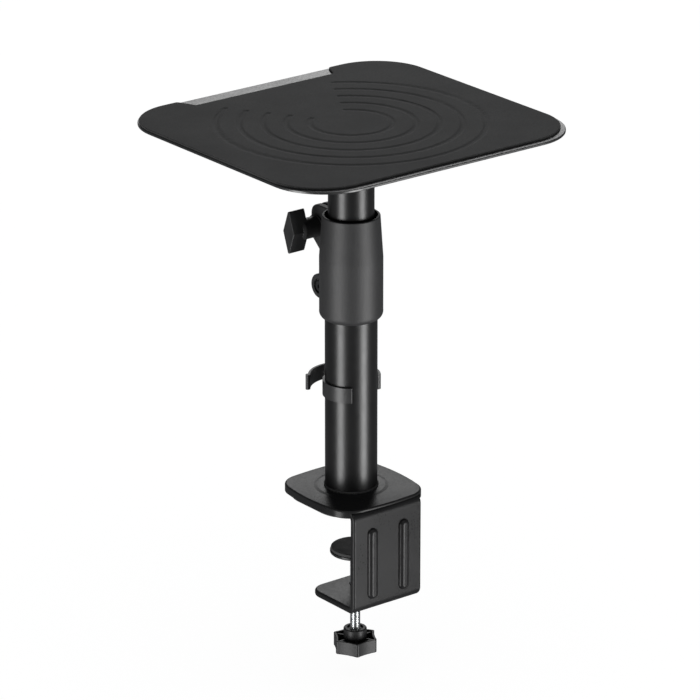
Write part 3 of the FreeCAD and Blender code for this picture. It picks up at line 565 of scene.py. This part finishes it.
def make_disc_pad(look):
    """Round rubber pad with a crowned rim and concentric grip ridges."""
    low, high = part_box("disc_pad")
    radius = half_width("disc_pad")
    flat_r = radius - DISC_ROUND_R - DISC_RIDGE_INSET
    profile = [(0.0, high.z - DISC_RIDGE_DEPTH)]
    steps = 84
    for k in range(1, steps + 1):
        r = flat_r * k / steps
        wave = 0.5 + 0.5 * math.cos(2.0 * math.pi * (r - flat_r) / DISC_RIDGE_PITCH + math.pi)
        profile.append((r, high.z - wave * DISC_RIDGE_DEPTH))
    profile += arc(radius - DISC_ROUND_R, high.z - DISC_ROUND_R, DISC_ROUND_R, 90.0, 0.0, 8)
    profile += arc(radius - DISC_LOWER_R, low.z + DISC_LOWER_R, DISC_LOWER_R, 0.0, -90.0, 5)
    profile.append((0.0, low.z))
    points, faces = lathe(profile, middle("disc_pad"))
    add_piece("disc_pad_rubber", points, faces, "disc", look, "black_rubber", "disc_pad")


def make_foot_ring(look):
    """Rubber ring in the corner between the pole and the base plate."""
    low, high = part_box("foot_ring")
    outer = half_width("foot_ring")
    inner = half_width("outer_tube") + FOOT_RING_GAP
    height = high.z - low.z
    profile = [(inner, low.z), (outer, low.z), (outer, low.z + height * 0.35)]
    profile += arc(outer - FOOT_RING_ROUND_R, high.z - FOOT_RING_ROUND_R, FOOT_RING_ROUND_R, 0.0, 90.0, 6)
    profile.append((inner, high.z - FOOT_RING_INNER_FALL))
    points, faces = lathe(profile, middle("foot_ring"), 160)
    add_piece("foot_ring_rubber", points, faces, "stand", look, "black_rubber", "foot_ring")


# ---- threaded rod ----
def thread_radius(phase, crest, depth):
    """Radius across one pitch: flat crest, sloping flanks, rounded root."""
    away = abs((phase % 1.0) - 0.5) * 2.0
    return crest - depth * smooth_step(0.16, 0.84, away)


def threaded_rod(centre, radius, pitch, depth, z_low, z_high, chamfer):
    """Points and faces of a right-hand threaded rod with chamfered ends and capped poles."""
    turns, per_pitch = 48, 14
    rows = round((z_high - z_low) / pitch * per_pitch)
    points, faces = [], []
    for j in range(rows + 1):
        z = z_low + (z_high - z_low) * j / rows
        ends = min(z - z_low, z_high - z)
        limit = radius - chamfer + min(chamfer, ends)
        for k in range(turns):
            angle = 2.0 * math.pi * k / turns
            r = min(thread_radius(z / pitch - k / turns, radius, depth), limit)
            points.append((centre.x + r * math.cos(angle), centre.y + r * math.sin(angle), z))
    for j in range(rows):
        for k in range(turns):
            a, b = j * turns + k, j * turns + (k + 1) % turns
            faces.append((a, b, b + turns, a + turns))
    faces.append(tuple(range(turns)))
    faces.append(tuple(rows * turns + k for k in range(turns)))
    return points, faces


def hex_head(centre, flats, z_low, z_high, chamfer):
    """A hexagon prism with its outer corners turned off at the lower face."""
    corner = flats / math.sqrt(3.0)
    points, faces = [], []
    levels = ((z_low, flats / 2.0 * 0.97), (z_low + chamfer, corner), (z_high, corner))
    per_side = 8
    count = 6 * per_side
    for z, cap in levels:
        for k in range(count):
            angle = 2.0 * math.pi * k / count
            inside = (angle + math.pi / 6.0) % (math.pi / 3.0) - math.pi / 6.0
            flat_r = flats / 2.0 / math.cos(math.pi / 6.0 - abs(inside))
            r = min(flat_r, cap)
            points.append((centre.x + r * math.cos(angle), centre.y + r * math.sin(angle), z))
    for row in range(len(levels) - 1):
        for k in range(count):
            a, b = row * count + k, row * count + (k + 1) % count
            faces.append((a, b, b + count, a + count))
    faces.append(tuple(range(count)))
    faces.append(tuple((len(levels) - 1) * count + k for k in range(count)))
    return points, faces


def joined(*shapes):
    """Several point and face lists as one."""
    points, faces = [], []
    for more_points, more_faces in shapes:
        start = len(points)
        points += list(more_points)
        faces += [tuple(start + i for i in face) for face in more_faces]
    return points, faces


def make_clamp_screw(look):
    """M8 screw: rolled thread above a hexagon head that the star knob holds."""
    low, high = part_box("clamp_screw")
    centre = middle("clamp_screw")
    head_top = low.z + SCREW_HEAD_HEIGHT
    rod = threaded_rod(centre, SCREW_R, SCREW_PITCH, SCREW_ROOT_DEPTH, head_top, high.z, SCREW_CHAMFER)
    head = hex_head(centre, SCREW_HEAD_FLATS, low.z, head_top, SCREW_HEAD_CHAMFER)
    points, faces = joined(rod, head)
    add_piece("clamp_screw_threaded", points, faces, "screw", look, "zinc_steel", "clamp_screw")


# ---- weld beads ----
def weld_bead(name, body, look, centre, radius, z, size, from_deg=0.0, to_deg=360.0, up=1.0):
    """A rippled fillet of weld metal round a vertical axis, in the corner at (radius, z)."""
    whole = to_deg - from_deg >= 360.0
    steps = max(24, round(radius * math.radians(to_deg - from_deg) / BEAD_STEP))
    profile = ((0.0, 0.0), (1.0, 0.0), (0.78, 0.42), (0.42, 0.78), (0.0, 1.0))
    points, faces = [], []
    rings = steps if whole else steps + 1
    for k in range(rings):
        angle = math.radians(from_deg + (to_deg - from_deg) * k / steps)
        swell = 1.0 + 0.10 * math.sin(k * 0.9) + 0.05 * math.sin(k * 0.37 + 1.0)
        if not whole:
            swell *= min(1.0, 0.35 + 0.22 * min(k, steps - k))
        for out, rise in profile:
            r = radius + out * size * swell
            points.append((centre.x + r * math.cos(angle), centre.y + r * math.sin(angle),
                           z + up * rise * size * swell))
    count = len(profile)
    for k in range(steps):
        here, there = k * count, ((k + 1) % rings) * count
        for i in range(count):
            j = (i + 1) % count
            faces.append((here + i, there + i, there + j, here + j))
    if not whole:
        faces.append(tuple(range(count)))
        faces.append(tuple(steps * count + i for i in range(count)))
    add_piece(name, points, faces, body, look, "black_paint")


def make_weld_beads(look):
    tube_r = half_width("inner_tube")
    flange_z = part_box("tray_flange")[0].z
    pole_axis = Vector((0.0, 0.0, 0.0))
    weld_bead("tray_tube_weld", "tray", look, pole_axis, tube_r, flange_z, TUBE_BEAD_SIZE, up=-1.0)
    nut_low, nut_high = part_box("jaw_nut")
    nut_r = (nut_high.y - nut_low.y) / 2.0
    for k in range(3):
        start = NUT_BEAD_START + 120.0 * k
        weld_bead("jaw_nut_weld_%d" % (k + 1), "stand", look, middle("jaw_nut"), nut_r, nut_high.z,
                  NUT_BEAD_SIZE, start, start + NUT_BEAD_SPAN, up=-1.0)


# ---------------------------------------------------------------- dressing the CAD pieces

def dress(looks):
    """Gives each CAD node its material, by the record's slot or by its own name."""
    by_slot = {
        "black_paint": "powder",
        "gloss_black_paint": "gloss",
        "textured_plastic": "spark",
        "black_plastic": "knob",
        "bush_plastic": "bush",
        "black_rubber": "rubber",
        "pad_rubber": "skin",
        "zinc_steel": "zinc",
        "black_oxide_steel": "oxide",
        "brass_insert": "brass",
    }
    own_look = {
        "base_plate": "base",
        "clamp_bracket": "bracket",
        "tray_plate": "tray",
        "star_knob": "star",
    }
    for part in frame["record"]["subparts"]:
        mesh = frame["nodes"][part["node"]].data
        mesh.materials.clear()
        mesh.materials.append(looks[own_look.get(part["node"], by_slot[part["material_slot"]])])


# ---------------------------------------------------------------- studio

def floor_look():
    """Pale floor: evenly white to the camera, with a soft trace of shadow."""
    look = Look("floor")
    shade = look.add("ShaderNodeBsdfDiffuse", Color=(0.93, 0.93, 0.93, 1.0))
    glow = look.add("ShaderNodeEmission", Color=(1.0, 1.0, 1.0, 1.0), Strength=1.13)
    clear = look.add("ShaderNodeBsdfTransparent")
    mixed = look.add("ShaderNodeMixShader", Fac=0.84)
    look.tree.links.new(shade.outputs[0], mixed.inputs[1])
    look.tree.links.new(glow.outputs[0], mixed.inputs[2])
    one_sided = look.add("ShaderNodeMixShader", Fac=look.add("ShaderNodeNewGeometry").outputs["Backfacing"])
    look.tree.links.new(mixed.outputs[0], one_sided.inputs[1])
    look.tree.links.new(clear.outputs[0], one_sided.inputs[2])
    output = look.add("ShaderNodeOutputMaterial")
    look.tree.links.new(one_sided.outputs[0], output.inputs["Surface"])
    return look.material


def make_floor():
    z = CAD_BOX[0].z - FLOOR_DROP
    corners = [(x * FLOOR_HALF, y * FLOOR_HALF, z) for x, y in ((-1, -1), (1, -1), (1, 1), (-1, 1))]
    mesh = bpy.data.meshes.new("floor")
    mesh.from_pydata(corners, [], [(0, 1, 2, 3)])
    mesh.materials.append(floor_look())
    floor = bpy.data.objects.new("floor", mesh)
    bpy.context.scene.collection.objects.link(floor)
    floor.visible_glossy = False
    floor.visible_shadow = False


def make_world():
    """White to the camera, dim grey to everything else."""
    world = bpy.data.worlds.new("studio")
    bpy.context.scene.world = world
    world.use_nodes = True
    tree = world.node_tree
    tree.nodes.clear()
    path = tree.nodes.new("ShaderNodeLightPath")
    seen = tree.nodes.new("ShaderNodeBackground")
    seen.inputs["Color"].default_value = (1.0, 1.0, 1.0, 1.0)
    fill = tree.nodes.new("ShaderNodeBackground")
    fill.inputs["Color"].default_value = (0.95, 0.97, 1.0, 1.0)
    fill.inputs["Strength"].default_value = 0.13
    mixed = tree.nodes.new("ShaderNodeMixShader")
    output = tree.nodes.new("ShaderNodeOutputWorld")
    tree.links.new(path.outputs["Is Camera Ray"], mixed.inputs[0])
    tree.links.new(fill.outputs[0], mixed.inputs[1])
    tree.links.new(seen.outputs[0], mixed.inputs[2])
    tree.links.new(mixed.outputs[0], output.inputs[0])


def softbox(name, azimuth, elevation, distance, width, height, strength):
    """A rectangular light that faces the object. Azimuth 0 stands on the -Y side, 90 on +X."""
    a, e = math.radians(azimuth), math.radians(elevation)
    away = Vector((math.sin(a) * math.cos(e), -math.cos(a) * math.cos(e), math.sin(e)))
    data = bpy.data.lights.new(name, "AREA")
    data.shape = "RECTANGLE"
    data.size, data.size_y = width, height
    data.energy = strength * width * height * math.pi
    light = bpy.data.objects.new(name, data)
    bpy.context.scene.collection.objects.link(light)
    light.location = LIGHT_TARGET + away * distance
    light.rotation_euler = (-away).to_track_quat("-Z", "Y").to_euler()
    light.visible_camera = False


def make_lights():
    """Two tall strips for the pole's highlights, an overhead bank and a low card behind."""
    softbox("strip_left", -85.0, -20.0, 2.3, 1.0, 1.7, 8.4)
    softbox("strip_right", 19.0, -20.0, 2.3, 0.95, 1.7, 9.8)
    softbox("overhead", -20.0, 78.0, 2.2, 2.4, 2.4, 0.95)
    softbox("back_card", 142.0, 21.5, 2.6, 1.0, 0.75, 2.3)


def make_camera():
    data = bpy.data.cameras.new("camera")
    data.lens = CAMERA_LENS
    data.sensor_width = 36.0
    data.clip_end = 60.0
    camera = bpy.data.objects.new("camera", data)
    camera.location = CAMERA_SPOT
    camera.rotation_euler = (CAMERA_TILT, 0.0, CAMERA_TURN)
    bpy.context.scene.collection.objects.link(camera)
    bpy.context.scene.camera = camera


def main():
    looks = {
        "powder": powder_coat("powder_coat", 0.5, 0.3),
        "base": powder_coat("base_coat", 0.5, 0.2, 0.0, 1.8),
        "bracket": powder_coat("bracket_coat", 0.3, 0.2),
        "tray": powder_coat("tray_coat", 0.5, 0.8),
        "gloss": gloss_paint(),
        "spark": spark_plastic(),
        "knob": knob_plastic("knob_plastic", 0.5),
        "star": knob_plastic("star_plastic", 0.24),
        "bush": bush_plastic(),
        "rubber": rubber(),
        "skin": pad_skin(),
        "zinc": zinc_plate(),
        "oxide": black_oxide(),
        "brass": turned_brass(),
    }
    dress(looks)
    make_tray_pad(looks["skin"])
    make_base_pad(looks["rubber"])
    make_disc_pad(looks["rubber"])
    make_foot_ring(looks["rubber"])
    make_clamp_screw(looks["zinc"])
    make_weld_beads(looks["powder"])
    make_floor()
    make_world()
    make_lights()
    make_camera()
    bpy.context.scene.view_settings.view_transform = "Standard"


main()
